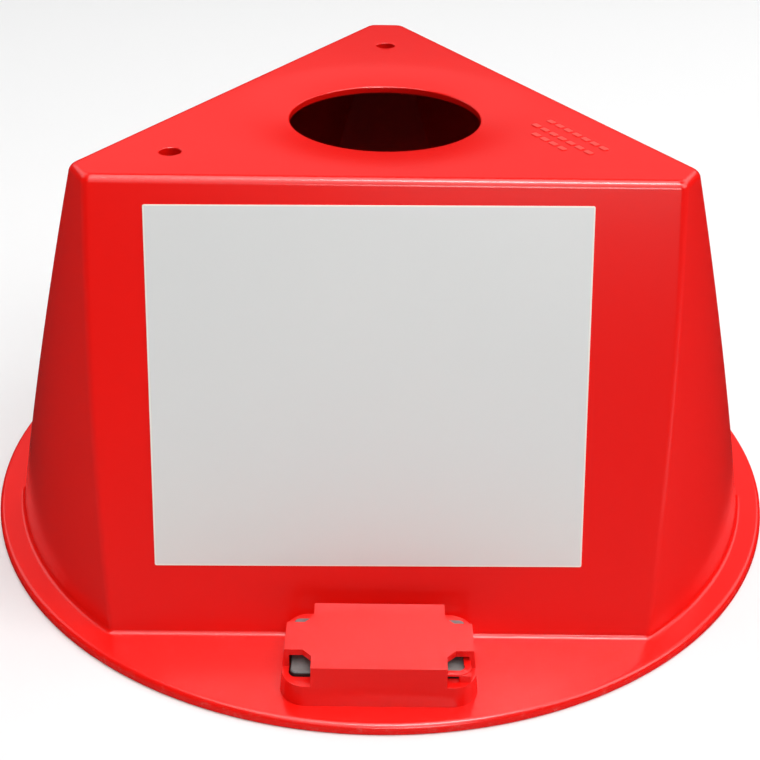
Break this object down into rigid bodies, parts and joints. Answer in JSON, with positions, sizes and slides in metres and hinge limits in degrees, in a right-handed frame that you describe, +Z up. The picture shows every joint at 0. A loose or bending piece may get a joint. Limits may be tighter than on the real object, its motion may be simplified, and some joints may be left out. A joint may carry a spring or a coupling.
{
  "type": "magnetic car roof marker",
  "caption": "Hollow three-sided marker hat with a round flange, a hand hole in its deck, write-on labels on its faces and loose block magnets in holders on the flange.",
  "frame": {"origin": "centre of the flange's underside, on the surface that the hat rests on", "axes": "+Z up along the hand hole's axis; the front face and its holder look towards -Y; +X is to the right as seen from the front"},
  "size_m": [0.254, 0.254, 0.1263],
  "materials": {
    "red_plastic": "satin moulded plastic, fine grain",
    "ferrite": "sintered ferrite, dull grey with chipped edges",
    "label_white": "white write-on film, satin"
  },
  "bodies": {
    "shell": {"hat_shell": "red_plastic", "label_front": "label_white", "label_back_right": "label_white", "label_back_left": "label_white"},
    "front_magnet": {"magnet_front": "ferrite"},
    "back_right_magnet": {"magnet_back_right": "ferrite"},
    "back_left_magnet": {"magnet_back_left": "ferrite"}
  },
  "joints": [
    {"name": "front_magnet_float", "type": "slide", "parent": "shell", "child": "front_magnet", "axis": [0, 0, 1], "range_m": [0, 0.001]},
    {"name": "back_right_magnet_float", "type": "slide", "parent": "shell", "child": "back_right_magnet", "axis": [0, 0, 1], "range_m": [0, 0.001]},
    {"name": "back_left_magnet_float", "type": "slide", "parent": "shell", "child": "back_left_magnet", "axis": [0, 0, 1], "range_m": [0, 0.001]}
  ]
}
